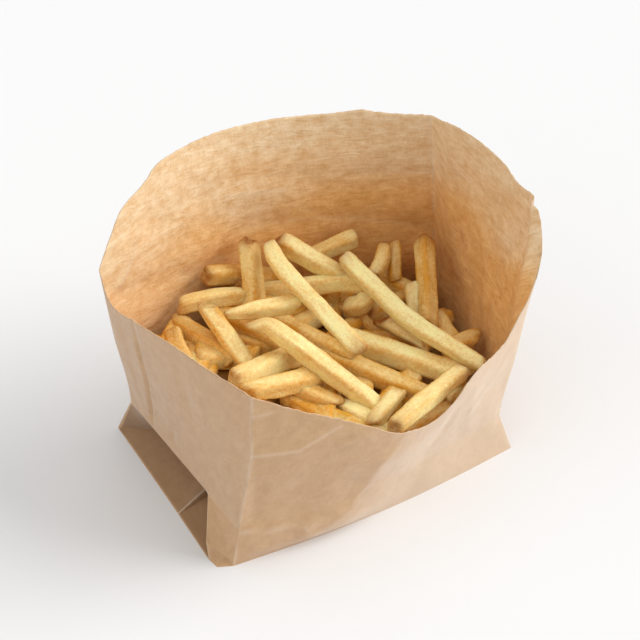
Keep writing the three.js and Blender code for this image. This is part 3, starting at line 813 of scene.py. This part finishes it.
def bed_fries():
    """The fries that cover the core, each lying nearly flat on its slope."""
    draws = park_miller(7)

    def within(limits):
        return limits[0] + (limits[1] - limits[0]) * next(draws)

    def strayed(most):
        return within((-most, most))

    bed = []
    for y in np.linspace(-BED["depth"], BED["depth"], BED["rows"]):
        for x in np.linspace(-BED["width"], BED["width"], BED["columns"]):
            middle = np.array([x + strayed(BED["wander"]), y + strayed(BED["wander"])])
            turn = math.radians(strayed(BED["swing"]))
            reach = within(BED["length"]) / 2 * np.array([math.cos(turn), math.sin(turn)])
            ends = [(*end, core_top(*end) + within(BED["lift"]))
                    for end in (middle - reach, middle + reach)]
            size = within(BED["size"])
            clear = clear_part(ends, size)
            if clear:
                bed.append(Fry(clear, size, within(BED["tone"])))
    return bed


def clear_part(ends, size):
    """The part of a straight fry that is clear of the walls, or nothing if it is too short."""
    start, end = np.array(ends)
    gap = WALL_GAP + FRY_REACH * size
    clear = []
    for share in np.linspace(0, 1, 60):
        place = start + (end - start) * share
        if all(inside_room(place[:2], gap, place[2] + up) for up in (-FRY_REACH, FRY_REACH)):
            clear.append(place)
    if not clear or np.linalg.norm(clear[-1] - clear[0]) < SHORTEST_FRY:
        return None
    return tuple(clear[0]), tuple(clear[-1])


def middle_line(points, bow):
    """Close places on a smooth line through points, and how far along it each lies."""
    points = np.array(points, float)
    if len(points) == 2:
        fine = np.linspace(0, 1, 40)[:, None]
        line = points[0] + (points[1] - points[0]) * fine
        line = line + np.array(bow) * (4 * fine * (1 - fine))
    else:
        padded = np.concatenate([[2 * points[0] - points[1]], points, [2 * points[-1] - points[-2]]])
        line = []
        for a, b, c, d in zip(padded[:-3], padded[1:-2], padded[2:-1], padded[3:]):
            t = np.linspace(0, 1, 24, endpoint=False)[:, None]
            line.append(0.5 * (2 * b + (c - a) * t + (2 * a - 5 * b + 4 * c - d) * t ** 2
                               + (3 * b - a - 3 * c + d) * t ** 3))
        line = np.concatenate(line + [points[-1:]])
    return line, np.concatenate([[0], np.cumsum(np.linalg.norm(np.diff(line, axis=0), axis=1))])


def fry_paths(name, fries, settings):
    """The middle lines of fries as one mesh of edges, with what each point of them needs."""
    draw = np.random.default_rng(settings.seed)
    from_end, shrink = (np.array(column) for column in zip(*END_PROFILE))
    step, taper_length = settings.ring_step / MM, settings.taper_length / MM

    def either_way(key):
        return draw.uniform(-VARIETY[key], VARIETY[key])

    vertices, edges = [], []
    values = {key: [] for key in ("girth", "turn", "along", "tone", "brown", "strain", "slant")}
    for fry in fries:
        bow = (either_way("sway"), either_way("sway"), draw.uniform(0, VARIETY["arch"]))
        line, run = middle_line(fry.points, bow)
        total = run[-1]
        inner = np.arange(from_end[-1] + step, total - from_end[-1] - 0.5, step)
        distance = np.concatenate([from_end, inner, total - from_end[::-1]])
        first, count = len(vertices), len(distance)
        vertices += list(np.stack([np.interp(distance, run, line[:, k]) for k in range(3)], -1))
        edges += [(first + i, first + i + 1) for i in range(count - 1)]

        share, to_end = distance / total, total - distance
        girth = fry.size * np.interp(np.minimum(distance, to_end), from_end, shrink)
        girth *= 1 + VARIETY["swell"] * np.sin(share * draw.uniform(4, 9) + draw.uniform(0, 6))
        for size, away in zip(fry.taper, (distance, to_end)):
            girth *= size + (1 - size) * smoothstep(away, 0, taper_length)
        turn = math.radians(fry.roll) + either_way("turn") + either_way("twist") * share
        tone, strain = fry.tone + either_way("tone"), draw.uniform(0, 50)
        brown, slant = np.zeros(count), np.zeros(count)
        for tip, away in zip(fry.tips, (distance, to_end)):
            brown += tip * np.exp(-away / VARIETY["browned"])
            slant += np.clip(1 - away / VARIETY["slanted"], 0, 1) * either_way("askew")
        for key, numbers in (("girth", girth), ("turn", turn), ("along", distance * MM),
                             ("tone", np.full(count, tone)), ("brown", brown),
                             ("strain", np.full(count, strain)), ("slant", slant)):
            values[key] += list(numbers)
    mesh = bpy.data.meshes.new(name)
    mesh.from_pydata([tuple(np.array(p) * MM) for p in vertices], edges, [])
    for key, numbers in values.items():
        keep_measure(mesh, key, numbers)
    piece = bpy.data.objects.new(name, mesh)
    bpy.context.scene.collection.objects.link(piece)
    return piece


def fry_tree():
    """Geometry Nodes that cut a fry along each middle line."""
    tree = bpy.data.node_groups.new("cut fries along lines", "GeometryNodeTree")
    for name, kind in (("Lines", "Geometry"), ("Side", "Float"), ("Edge Radius", "Float"),
                       ("Hollow", "Float"), ("Lump Height", "Float"), ("Lump Size", "Float"),
                       ("Blister Height", "Float"), ("Blister Size", "Float"),
                       ("Points Round", "Int"), ("Material", "Material")):
        tree.interface.new_socket(name, in_out="INPUT", socket_type="NodeSocket" + kind)
    tree.interface.new_socket("Fries", in_out="OUTPUT", socket_type="NodeSocketGeometry")
    given = add(tree, "NodeGroupInput").outputs

    def named(name, kind="FLOAT"):
        return add(tree, "GeometryNodeInputNamedAttribute", {"Name": name}, data_type=kind).outputs[0]

    # Section: a square with rounded edges and sides that sink a little between them.
    square = add(tree, "GeometryNodeCurvePrimitiveQuadrilateral",
                 {"Width": given["Side"], "Height": given["Side"]})
    rounded = add(tree, "GeometryNodeFilletCurve",
                  {"Curve": square.outputs[0], "Radius": given["Edge Radius"]}, mode="POLY")
    rounded.inputs["Count"].default_value = 4
    evened = add(tree, "GeometryNodeResampleCurve",
                 {"Curve": rounded.outputs[0], "Count": given["Points Round"]})
    place = add(tree, "GeometryNodeInputPosition").outputs[0]
    split = add(tree, "ShaderNodeSeparateXYZ", {0: place}).outputs
    half = maths(tree, "MULTIPLY", given["Side"], 0.5)
    edge = maths(tree, "DIVIDE", smaller(tree, split[0], split[1]), half)
    flat = maths(tree, "SUBTRACT", 1.0, maths(tree, "MULTIPLY", edge, edge))
    sink = maths(tree, "SUBTRACT", 1.0, maths(tree, "MULTIPLY", flat, given["Hollow"]))
    section = add(tree, "GeometryNodeSetPosition",
                  {"Geometry": evened.outputs[0], "Position": times(tree, place, sink)})
    marked = add(tree, "GeometryNodeStoreNamedAttribute",
                 {"Geometry": section.outputs[0], "Name": "cut", "Value": place},
                 data_type="FLOAT_VECTOR", domain="POINT")

    # Sweep: one fry along each line, as thick and as turned as its points say.
    lines = add(tree, "GeometryNodeMeshToCurve", {"Mesh": given["Lines"]})
    upright = add(tree, "GeometryNodeSetCurveNormal", {"Curve": lines.outputs[0]}, mode="Z_UP")
    turned = add(tree, "GeometryNodeSetCurveTilt", {"Curve": upright.outputs[0], "Tilt": named("turn")})
    facing = add(tree, "GeometryNodeStoreNamedAttribute",
                 {"Geometry": turned.outputs[0], "Name": "facing",
                  "Value": add(tree, "GeometryNodeInputTangent").outputs[0]},
                 data_type="FLOAT_VECTOR", domain="POINT")
    swept = add(tree, "GeometryNodeCurveToMesh",
                {"Curve": facing.outputs[0], "Profile Curve": marked.outputs[0],
                 "Scale": named("girth"), "Fill Caps": True})

    # Ends cut askew, then lumps and fine blisters square to the surface.
    cut = add(tree, "ShaderNodeSeparateXYZ", {0: named("cut", "FLOAT_VECTOR")}).outputs
    askew = maths(tree, "MULTIPLY", maths(tree, "ADD", cut[0], cut[1]), named("slant"))
    shift = times(tree, named("facing", "FLOAT_VECTOR"), askew)
    slanted = add(tree, "GeometryNodeSetPosition", {"Geometry": swept.outputs[0], "Offset": shift})
    at = add(tree, "GeometryNodeInputPosition").outputs[0]
    heights = []
    for size, height in (("Lump Size", "Lump Height"), ("Blister Size", "Blister Height")):
        hump = noise(tree, at, maths(tree, "DIVIDE", 1.0, given[size]), 1.0, named("strain"))
        centred = maths(tree, "SUBTRACT", hump, 0.5)
        doubled = maths(tree, "MULTIPLY", given[height], 2.0)
        heights.append(maths(tree, "MULTIPLY", centred, doubled))
    bumps = times(tree, add(tree, "GeometryNodeInputNormal").outputs[0],
                  maths(tree, "ADD", *heights))
    uneven = add(tree, "GeometryNodeSetPosition", {"Geometry": slanted.outputs[0], "Offset": bumps})
    soft = add(tree, "GeometryNodeSetShadeSmooth", {"Geometry": uneven.outputs[0]})
    real = add(tree, "GeometryNodeRealizeInstances", {"Geometry": soft.outputs[0]})
    dressed = add(tree, "GeometryNodeSetMaterial",
                  {"Geometry": real.outputs[0], "Material": given["Material"]})
    add(tree, "NodeGroupOutput", {0: dressed.outputs[0]})
    return tree


def cut_fries(name, fries, settings, points_round, tree, material):
    """A piece made of fries, with what their finish reads kept on its points."""
    piece = fry_paths(name, fries, settings)
    nodes = piece.modifiers.new("cut", "NODES")
    nodes.node_group = tree
    sockets = {s.name: s.identifier for s in tree.interface.items_tree if s.in_out == "INPUT"}
    for socket, value in (
        ("Side", settings.side), ("Edge Radius", settings.edge_radius), ("Hollow", settings.hollow),
        ("Lump Height", settings.lump_height), ("Lump Size", settings.lump_size),
        ("Blister Height", settings.blister_height), ("Blister Size", settings.blister_size),
        ("Points Round", points_round), ("Material", material),
    ):
        nodes[sockets[socket]] = value
    apply_modifiers(piece)
    mesh = piece.data
    places = np.zeros(len(mesh.vertices) * 3, "f")
    mesh.vertices.foreach_get("co", places)
    places = places.reshape(-1, 3) / MM
    scorched = np.zeros(len(places))
    for spot, radius in SPOTS:
        away = np.linalg.norm(places - np.array(spot), axis=1)
        scorched = np.maximum(scorched, smoothstep(-away, -radius, -radius * 0.2))
    keep_measure(mesh, "scorched", scorched)
    return piece


# -------------------------------------------------------------------------- finish of the fries


def fried_potato(settings):
    """Blanched potato, cut square and deep fried.

    It gives the eye a pale, slightly see-through flesh under a thin dry skin. The skin is golden
    along the cut edges and in patches, and brown at some ends. Its blisters are about 1 mm.
    """
    material, tree, out = new_material("fried_potato_deep_fried")
    pale, golden, browned = (
        (*shade, 1) for shade in (settings.pale, settings.golden, settings.browned))
    cut = add(tree, "ShaderNodeAttribute", attribute_name="cut").outputs["Vector"]
    split = add(tree, "ShaderNodeSeparateXYZ", {0: cut}).outputs
    local = add(tree, "ShaderNodeCombineXYZ",
                {0: attribute(tree, "along"), 1: split[0], 2: split[1]}).outputs[0]
    half = settings.side / 2
    edge = add(tree, "ShaderNodeMapRange",
               {"Value": smaller(tree, split[0], split[1]), "From Min": half * 0.35,
                "From Max": half * 0.95},
               interpolation_type="SMOOTHSTEP").outputs[0]
    strain, blister = attribute(tree, "strain"), settings.blister_size
    patch = noise(tree, scaled(tree, local, (0.35, 1, 1)), 1 / settings.patch_size, 3.0, strain,
                  Roughness=0.55)
    fleck = noise(tree, local, 1 / blister, 2.0, strain)
    grain = noise(tree, local, 2 / blister, 2.0, strain)

    # Gold: by the fry's own tone, in patches, along the cut edges, and in flecks and grains.
    gold = maths(tree, "MULTIPLY_ADD", patch, 1.8, -1.5)
    for cause, share in ((edge, 0.32), (fleck, 0.7), (grain, 0.5)):
        gold = maths(tree, "MULTIPLY_ADD", cause, share, gold)
    gold = maths(tree, "ADD", gold, attribute(tree, "tone"), clamp=True)
    skin = mixed(tree, gold, pale, golden)

    # Brown: at the ends and in scorched spots, with a ragged edge.
    burnt = maths(tree, "MULTIPLY_ADD", attribute(tree, "scorched"), 1.6, attribute(tree, "brown"))
    uneven = maths(tree, "MULTIPLY_ADD", patch, 1.6, 0.25)
    ragged = maths(tree, "MULTIPLY", burnt, uneven, clamp=True)
    brown = mixed(tree, ragged, skin, browned)
    bump = add(tree, "ShaderNodeBump",
               {"Strength": 0.8, "Distance": settings.blister_height * 2, "Height": grain})
    potato = add(tree, "ShaderNodeBsdfPrincipled",
                 {"Base Color": brown, "Roughness": 0.46, "IOR": 1.42, "Specular IOR Level": 0.4,
                  "Subsurface Weight": 0.35, "Subsurface Radius": (1.0, 0.7, 0.3),
                  "Subsurface Scale": 0.0022, "Normal": bump.outputs[0]})
    tree.links.new(potato.outputs[0], out.inputs["Surface"])
    return material


def packed_potato(settings):
    """Fries packed deep in the bag.

    They give the eye only a dark golden brown between those above: painted shade, darker in the gaps.
    """
    material, tree, out = new_material("fried_potato_deep_in_the_heap")
    place = add(tree, "ShaderNodeTexCoord").outputs["Object"]
    gaps = noise(tree, place, 1 / settings.packed_size, 3.0)
    # Painted shade: darker in the gaps between the fries deep in the heap.
    tint = mixed(tree, gaps, (*settings.packed_gap_shade, 1), (*settings.packed, 1))
    bump = add(tree, "ShaderNodeBump", {"Strength": 0.6, "Distance": 0.001, "Height": gaps})
    potato = add(tree, "ShaderNodeBsdfPrincipled",
                 {"Base Color": tint, "Roughness": 0.6, "Normal": bump.outputs[0]})
    tree.links.new(potato.outputs[0], out.inputs["Surface"])
    return material


# ----------------------------------------------------------------------------------- properties


def length(name, description, millimetres, **limits):
    """A length property, given in mm."""
    return FloatProperty(name=name, description=description, default=millimetres * MM, min=0,
                         subtype="DISTANCE", unit="LENGTH", precision=5, **limits)


def colour(name, description, code):
    """A colour property, given as an sRGB hex value."""
    return FloatVectorProperty(name=name, description=description, default=linear(code)[:3], size=3,
                               min=0, max=1, subtype="COLOR")


def strength(name, description, default):
    """A property for the strength of a light."""
    return FloatProperty(name=name, description=description, default=default, min=0)


class PaperBagSettings(bpy.types.PropertyGroup):
    """Sizes and colours of the paper bag."""

    paper: length("Paper", "Thickness of the paper", 0.32)
    face_size: length("Face Size", "Width of a face of the walls", 1.05)
    wall_rows: IntProperty(name="Wall Rows", description="Rows of faces up a wall", default=84, min=8)
    torn_edge: length("Torn Edge", "Unevenness of the cut mouth", 0.22)
    flap_thickness: length("Flap Thickness", "Thickness of the flaps glued under the base", 0.4)
    fibre_width: length("Fibre Width", "Width of a bundle of fibres", 0.55)
    cloud_size: length("Cloud Size", "Size of the denser clouds of pulp", 5.0)
    streak_width: length("Streak Width", "Width of the level wrinkles on the inside", 3.0)
    wrinkle_depth: length("Wrinkle Depth", "Depth of the finest wrinkles", 0.5)
    # It also pales the painted highlights on two folds and the painted sheen on the front.
    scuff_and_sheen_strength: FloatProperty(name="Wear", description="How pale worn creases are", default=0.5, min=0,
                        max=1, subtype="FACTOR")
    outside: colour("Outside", "Colour of the outside", "#CEA87E")
    outside_cloud: colour("Outside Cloud", "The outside where its pulp is denser", "#C0976E")
    # The inside's colours are paler than the outside's: partly the rough side's own colour, partly
    # painted light for light that shines through the thin paper and bounces round the bag.
    inside: colour("Inside", "Colour of the inside", "#F6DDB8")
    inside_cloud: colour("Inside Cloud", "The inside where its pulp is denser", "#DFB683")
    cut_edge: colour("Cut Edge", "Colour of the cut edge", "#E2C6A2")
    cut_edge_cloud: colour("Cut Edge Cloud", "The cut edge where its pulp is denser", "#CDAA82")
    # Darkens the tucks under their crease, for the glued layers and as painted shade of the recess.
    paste_and_shade_tint: colour("Glue", "Tint of paper with glued layers behind it", "#B3A692")
    grease: colour("Grease", "Tint of greasy paper", "#FCDDA8")
    # Also the colour of the painted highlights on two folds and the painted sheen on the front.
    pale_scuff_and_sheen: colour("Rubbed", "Colour of worn paper, where fibres stand up", "#EAD9C2")
    seed: IntProperty(name="Seed", description="Draws another set of faint folds", default=4)


class FrySettings(bpy.types.PropertyGroup):
    """Sizes and colours of the fries."""

    side: length("Side", "Side of the square section", 7.9)
    edge_radius: length("Edge Radius", "Radius of the long edges", 1.8)
    hollow: FloatProperty(name="Hollow", description="How far the sides sink between the edges",
                          default=0.03, min=0, max=0.3, subtype="FACTOR")
    ring_step: length("Ring Step", "Distance between rings of faces", 1.3)
    points_round: IntProperty(name="Points Round", description="Points round a fry that shows",
                              default=32, min=8)
    points_round_below: IntProperty(name="Points Round Below", default=20, min=8,
                                    description="Points round a fry of the bed")
    taper_length: length("Taper Length", "Distance over which a tapered end grows to full size", 14)
    lump_height: length("Lump Height", "Height of the wide lumps", 0.55)
    lump_size: length("Lump Size", "Size of the wide lumps", 9.0)
    blister_height: length("Blister Height", "Height of the fine blisters", 0.2)
    blister_size: length("Blister Size", "Size of the fine blisters", 1.6)
    patch_size: length("Patch Size", "Size of the golden patches", 5.5)
    pale: colour("Pale", "Colour of the flesh", "#FFEDAA")
    golden: colour("Golden", "Colour of the fried skin", "#DD9F33")
    browned: colour("Browned", "Colour of the browned ends", "#94561E")
    packed_size: length("Packed Size", "Size of what shows of a fry deep in the heap", 7.0)
    # Painted shade: the fries deep in the heap are coloured darker than those on top, and the gaps
    # between them darker still.
    packed: colour("Packed", "Colour of the fries deep in the heap", "#BC8A3E")
    packed_gap_shade: colour("Packed Dark", "Colour of the gaps between them", "#75501C")
    seed: IntProperty(name="Seed", description="Draws other fries of the same kind", default=11)


class FriesStageSettings(bpy.types.PropertyGroup):
    """Colour of the floor, and the strengths of the light."""

    floor: colour("Floor", "Colour of the floor", "#EAEAEA")
    sky: strength("Sky", "Strength of the light from all round", 0.28)
    key: strength("Key", "Strength of the soft light from the right", 2.6)
    ceiling: strength("Ceiling", "Strength of the wide light above", 1.35)
    fill: strength("Fill", "Strength of the weak light from the left", 0.7)


# ------------------------------------------------------------------------------------ operators


class FRIES_OT_paper_bag(bpy.types.Operator):
    """Makes the creased kraft paper bag"""

    bl_idname = "fries.paper_bag"
    bl_label = "Paper Bag"

    def execute(self, context):
        settings = context.scene.paper_bag_settings
        vertices, faces, uvs, marks, folds = bag_shell(settings)
        papers = [kraft_paper(side, settings) for side in SIDES]
        bag = new_object("kraft_bag", vertices, faces, *papers)
        crisp_folds(bag.data, *folds)
        bag.data.uv_layers.new(name="paper").data.foreach_set("uv", np.array(uvs, "f").ravel())
        for name, numbers in marks.items():
            keep_measure(bag.data, name, numbers)
        shell = bag.modifiers.new("thickness", "SOLIDIFY")
        shell.thickness = settings.paper
        shell.offset = -1
        # The side of the paper that each kind of face takes, counted from the outside.
        shell.material_offset, shell.material_offset_rim = 1, 2
        apply_modifiers(bag)
        finish_piece(bag, "paper_bag")
        return {"FINISHED"}


class FRIES_OT_fries(bpy.types.Operator):
    """Makes the fries that lie on top and the bed of fries under them"""

    bl_idname = "fries.fries"
    bl_label = "Fries"

    def execute(self, context):
        settings = context.scene.fry_settings
        potato = fried_potato(settings)
        tree = fry_tree()
        for name, fries, points_round in (
            ("fries_on_top", FRIES, settings.points_round),
            ("fries_below", bed_fries(), settings.points_round_below),
        ):
            piece = cut_fries(name, fries, settings, points_round, tree, potato)
            finish_piece(piece, "fries")
        return {"FINISHED"}


class FRIES_OT_core(bpy.types.Operator):
    """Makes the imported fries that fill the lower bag"""

    bl_idname = "fries.core"
    bl_label = "Core"

    def execute(self, context):
        packed = packed_potato(context.scene.fry_settings)
        core = new_object("fries_packed_core", *packed_core(), packed)
        finish_piece(core, "fries")
        return {"FINISHED"}


# The view. turn: degrees round from the front to the right. rise: degrees up from level. angle:
# degrees across the picture. distance: from the target.
VIEW = {"turn": -32.0, "rise": 39.23, "angle": 22.0, "target": (43.5, 68.1, 0), "distance": 748.2}

FLOOR = 4000  # half the floor's width

# The lamps: how many degrees of sky each fills, and the side that it shines from.
LAMPS = {
    "key": (50, (0.92, -0.4, 0.52)),
    "ceiling": (110, (0, 0, 1)),
    "fill": (80, (-1, -0.05, 0.35)),
}


class FRIES_OT_stage(bpy.types.Operator):
    """Makes the pale floor, the soft light and the camera"""

    bl_idname = "fries.stage"
    bl_label = "Stage"

    def execute(self, context):
        settings = context.scene.fries_stage_settings
        scene = context.scene
        scene.view_settings.view_transform = "Standard"

        material, tree, out = new_material("floor_matt_pale")
        matt = add(tree, "ShaderNodeBsdfDiffuse", {"Color": (*settings.floor, 1)})
        tree.links.new(matt.outputs[0], out.inputs["Surface"])
        corners = [(x * FLOOR, y * FLOOR, 0) for x, y in ((-1, -1), (1, -1), (1, 1), (-1, 1))]
        floor = new_object("floor", corners, [(0, 1, 2, 3)], material)

        world = bpy.data.worlds.new("pale_studio")
        world.use_nodes = True
        light = world.node_tree.nodes["Background"].inputs
        light["Color"].default_value = (1, 1, 1, 1)
        light["Strength"].default_value = settings.sky
        scene.world = world

        for name, (spread, side) in LAMPS.items():
            lamp = bpy.data.lights.new(name, "SUN")
            lamp.energy = getattr(settings, name)
            lamp.angle = math.radians(spread)
            place_facing(lamp, Vector(side))

        turn, rise = math.radians(VIEW["turn"]), math.radians(VIEW["rise"])
        side = Vector((math.sin(turn) * math.cos(rise), -math.cos(turn) * math.cos(rise), math.sin(rise)))
        lens = bpy.data.cameras.new("view")
        lens.angle = math.radians(VIEW["angle"])
        lens.clip_start, lens.clip_end = 0.01, 20
        scene.camera = place_facing(lens, side)
        scene.camera.location = (Vector(VIEW["target"]) + side * VIEW["distance"]) * MM
        return {"FINISHED"}


def place_facing(data, side):
    """A lamp or camera as an object that looks in from a side."""
    piece = bpy.data.objects.new(data.name, data)
    piece.rotation_mode = "QUATERNION"
    piece.rotation_quaternion = side.to_track_quat("Z", "Y")
    bpy.context.scene.collection.objects.link(piece)
    return piece


OPERATORS = (FRIES_OT_paper_bag, FRIES_OT_fries, FRIES_OT_core, FRIES_OT_stage)


class FRIES_PT_sidebar(bpy.types.Panel):
    """Lists what makes the bag of fries"""

    bl_idname = "FRIES_PT_sidebar"
    bl_label = "Fries in a Paper Bag"
    bl_space_type = "VIEW_3D"
    bl_region_type = "UI"
    bl_category = "Fries"

    def draw(self, context):
        for operator in OPERATORS:
            self.layout.operator(operator.bl_idname)


SETTINGS = {
    "paper_bag_settings": PaperBagSettings,
    "fry_settings": FrySettings,
    "fries_stage_settings": FriesStageSettings,
}


def register():
    for item in (*SETTINGS.values(), *OPERATORS, FRIES_PT_sidebar):
        bpy.utils.register_class(item)
    for name, group in SETTINGS.items():
        setattr(bpy.types.Scene, name, PointerProperty(type=group))


def unregister():
    for name in SETTINGS:
        delattr(bpy.types.Scene, name)
    for item in (FRIES_PT_sidebar, *reversed(OPERATORS), *reversed(SETTINGS.values())):
        bpy.utils.unregister_class(item)


def main():
    """Makes every piece and the stage."""
    register()
    for operator in OPERATORS:
        group, name = operator.bl_idname.split(".")
        getattr(getattr(bpy.ops, group), name)()


if __name__ == "__main__":
    main()
